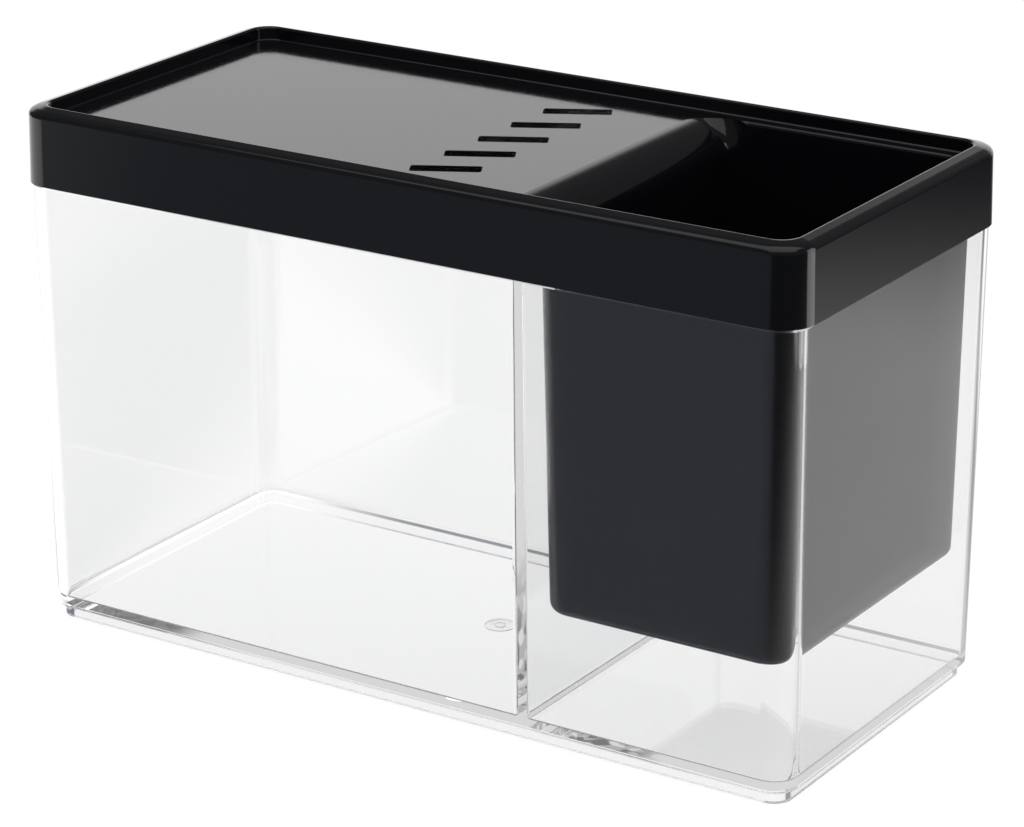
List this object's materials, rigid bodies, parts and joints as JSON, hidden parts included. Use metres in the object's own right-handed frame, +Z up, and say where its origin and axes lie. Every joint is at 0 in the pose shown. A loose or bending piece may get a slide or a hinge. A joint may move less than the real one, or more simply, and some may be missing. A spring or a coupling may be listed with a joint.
{
  "type": "desktop aquarium",
  "caption": "Small clear plastic desktop tank with a dividing wall, and a black lift-off lid with breathing slots and a deep tub that hangs inside.",
  "frame": {"origin": "on the table, under the middle of the tank", "axes": "+X towards the tub end, -Y towards the front, +Z up"},
  "size_m": [0.24, 0.1126, 0.1485],
  "materials": {
    "clear_plastic": "clear, polished",
    "black_plastic": "gloss"
  },
  "bodies": {
    "tank": {"tank": "clear_plastic"},
    "lid": {"lid": "black_plastic"}
  },
  "joints": [
    {"name": "lid_lift", "type": "slide", "parent": "tank", "child": "lid", "axis": [0, 0, 1], "range_m": [0, 0.12]}
  ]
}
